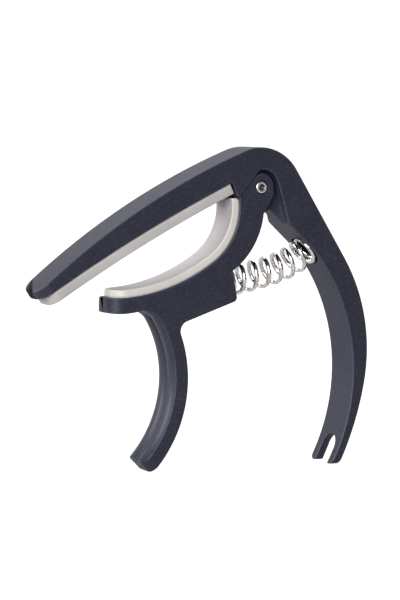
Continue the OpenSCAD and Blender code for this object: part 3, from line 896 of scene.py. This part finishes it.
def darken_socket(piece):
    """Gives the faces inside the hex socket a second, much darker steel: painted shade for the hollow.

    They are the faces whose middle is no further from the axis than SOCKET_REACH times HEX_R, and
    beyond the underside of the head.
    """
    middles = np.array([face.center for face in piece.data.polygons]) - PIVOT
    from_axis = np.hypot(middles[:, 0], middles[:, 2])
    in_head = np.abs(middles[:, 1]) > (under_head + HEAD_MARGIN) * MM
    inside = (from_axis < SOCKET_REACH * HEX_R * MM) & in_head
    piece.data.materials.append(socket_painted_shade)
    piece.data.polygons.foreach_set("material_index", inside.astype(np.int32))
    print(f"{piece.name}: {inside.sum()} dull faces")


darken_socket(screw)
darken_socket(nut)

# %% Bush and washers
RING_BORE, BUSH_R, WASHER_R, BUSH_HALF, WASHER_END = 1.23, 1.83, 3.1, 2.3, 2.7


def ring_rows(bore, outer, low, high, r):
    """A square-cut ring with a small round on all four corners, as a closed row of (radius, y, 0)."""
    rows = (edge_arc(bore + r, low + r, r, 180, 90) + edge_arc(outer - r, low + r, r, 270, 90)
            + edge_arc(outer - r, high - r, r, 0, 90) + edge_arc(bore + r, high - r, r, 90, 90))
    return rows + rows[:1]


bush_rows = ring_rows(RING_BORE, BUSH_R, -BUSH_HALF, BUSH_HALF, 0.12)
front_rows = ring_rows(RING_BORE, WASHER_R, -WASHER_END, -BUSH_HALF, 0.1)
rear_rows = ring_rows(RING_BORE, WASHER_R, BUSH_HALF, WASHER_END, 0.1)
turned("eye_bush", bush_rows, bronze, "arm", "bronze", "pivot_bush")
turned("front_spacer", front_rows, nylon, "arm", "nylon", "front_washer")
turned("rear_spacer", rear_rows, nylon, "arm", "nylon", "rear_washer")

# %% [markdown]
# ## Floor and light
# The capo stands on its two handle tips on a pale sheet that curves up behind it. A soft lamp overhead
# lights the tops of the castings, one from the left lights their inner faces, and one from the front
# fills the rest. All are far larger than the capo, so the powder coat shows broad sheens and no hot
# spots. A bright spring vanishes on white paper, because it mirrors nothing but white. So the sheet is
# a mid grey that glows white to the camera and less in mirrors, and some more towards its far end.

# %% Floor
SHEET_TURN = -27
FLOOR_ROWS, BEND_ROWS, SHEET_COLUMNS = 12, 24, 9


def swept_sheet(front=-1.2, back=1.6, wall=2.2, bend=0.8, half=3.0):
    """A floor, a quarter circle of radius `bend`, and a wall, carried straight across."""
    a = np.linspace(-np.pi / 2, 0, BEND_ROWS)
    flat = np.stack([np.linspace(front, back, FLOOR_ROWS), np.zeros(FLOOR_ROWS)], axis=-1)
    curve = np.stack([back + bend * np.cos(a), bend + bend * np.sin(a)], axis=-1)
    rows = np.concatenate([flat, curve[1:], [[back + bend, bend + wall]]])
    x = np.linspace(-half, half, SHEET_COLUMNS)
    grid = np.stack(np.broadcast_arrays(x, rows[:, :1], rows[:, 1:]), axis=-1)
    turn = np.array(Matrix.Rotation(math.radians(SHEET_TURN), 3, "Z"))
    return grid @ turn.T


floor = grid_piece("studio_sheet", swept_sheet(), around=False)

# %% Paper that glows
GLOW_BEHIND, GLOW_IN_MIRRORS = 0.7, 0.36
paper = bpy.data.materials.new("studio_paper")
paper.use_nodes = True
tree = paper.node_tree
paper_surface = tree.nodes["Principled BSDF"]
paper_place = node(tree, "ShaderNodeTexCoord", (-1100, 0))
paper_noise = node(tree, "ShaderNodeTexNoise", (-800, 100), Scale=3.0)
paper_tone = node(tree, "ShaderNodeMapRange", (-500, 100), To_Min=0.22, To_Max=0.24)
behind = node(tree, "ShaderNodeVectorMath", (-800, -150))
behind.operation = "DOT_PRODUCT"
behind.inputs[1].default_value = (0.456, 0.89, 0)
far = node(tree, "ShaderNodeMapRange", (-600, -150), From_Min=0.4, From_Max=1.8, To_Max=GLOW_BEHIND)
seen = node(tree, "ShaderNodeLightPath", (-800, -350))
mirrored = node(tree, "ShaderNodeMath", (-600, -400))
mirrored.operation = "MULTIPLY_ADD"
mirrored.inputs[1].default_value = GLOW_IN_MIRRORS
glow = node(tree, "ShaderNodeMath", (-400, -200))
glow.operation = "MAXIMUM"
wire(
    tree,
    (paper_place.outputs["Object"], paper_noise.inputs["Vector"]),
    (paper_noise.outputs["Fac"], paper_tone.inputs["Value"]),
    (paper_tone.outputs["Result"], paper_surface.inputs["Base Color"]),
    (paper_place.outputs["Object"], behind.inputs[0]),
    (behind.outputs["Value"], far.inputs["Value"]),
    (far.outputs["Result"], glow.inputs[0]),
    (seen.outputs["Is Glossy Ray"], mirrored.inputs[0]),
    (seen.outputs["Is Camera Ray"], mirrored.inputs[2]),
    (mirrored.outputs["Value"], glow.inputs[1]),
    (glow.outputs["Value"], paper_surface.inputs["Emission Color"]),
)
paper_surface.inputs["Roughness"].default_value = 0.9
paper_surface.inputs["Specular IOR Level"].default_value = 0.1
paper_surface.inputs["Emission Strength"].default_value = 1.0
dress(floor, paper)
floor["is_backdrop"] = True
print("floor", len(floor.data.polygons), "faces, glow in mirrors", GLOW_IN_MIRRORS)

# %% Camera
VIEW_FROM = Vector((-0.22765, -0.4435, 0.08276))
AHEAD = Vector((0.4549, 0.8869, -0.0806))
RIGHT = Vector((0.8905, -0.4540, 0.0301))
UP = Vector((0.0099, 0.0854, 0.9963))
camera = bpy.data.objects.new("camera", bpy.data.cameras.new("camera"))
bpy.context.scene.collection.objects.link(camera)
camera.matrix_world = Matrix.Translation(VIEW_FROM) @ Matrix((RIGHT, UP, -AHEAD)).transposed().to_4x4()
camera.data.lens = 120
bpy.context.scene.camera = camera
print("camera at", [round(k, 3) for k in VIEW_FROM])

# %% Lamps
target = Vector((0, 0, 0.045))


def lamp(name, right, up, ahead, size, energy):
    """A square lamp, placed in metres to the right of, above and beyond the capo, and turned to it."""
    light = bpy.data.lights.new(name, "AREA")
    light.size, light.energy = size, energy
    shown = bpy.data.objects.new(name, light)
    bpy.context.scene.collection.objects.link(shown)
    shown.location = target + right * RIGHT + up * Vector((0, 0, 1)) + ahead * AHEAD
    shown.rotation_euler = (target - shown.location).to_track_quat("-Z", "Y").to_euler()
    return shown


lamp("overhead", -0.1, 0.9, 0.3, 0.8, 5.0)
lamp("left_window", -1.0, 0.3, 0.0, 0.6, 7.0)
lamp("front_fill", -0.3, 0.25, -1.1, 0.8, 18.0)

# %% Sky
SKY, SKY_TO_CAMERA = 0.12, 0.88
world = bpy.data.worlds.new("studio")
world.use_nodes = True
world.node_tree.nodes["Background"].inputs["Color"].default_value = (0.96, 0.97, 1.0, 1)
sky_seen = node(world.node_tree, "ShaderNodeLightPath", (-600, 0))
sky_glow = node(world.node_tree, "ShaderNodeMath", (-300, 0))
sky_glow.operation = "MULTIPLY_ADD"
sky_glow.inputs[1].default_value, sky_glow.inputs[2].default_value = SKY_TO_CAMERA, SKY
wire(
    world.node_tree,
    (sky_seen.outputs["Is Camera Ray"], sky_glow.inputs[0]),
    (sky_glow.outputs["Value"], world.node_tree.nodes["Background"].inputs["Strength"]),
)
bpy.context.scene.world = world
bpy.context.scene.view_settings.view_transform = "Standard"
print("sky", SKY, "and", SKY + SKY_TO_CAMERA, "to the camera")

# %% Sizes of the CAD and the visual boxes
visual_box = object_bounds()
sizes = {"cad": [list(corner) for corner in cad_box], "visual": [list(corner) for corner in visual_box]}
for box, corners in sizes.items():
    print(box, "box in mm", np.round(np.array(corners) / MM, 2).tolist())
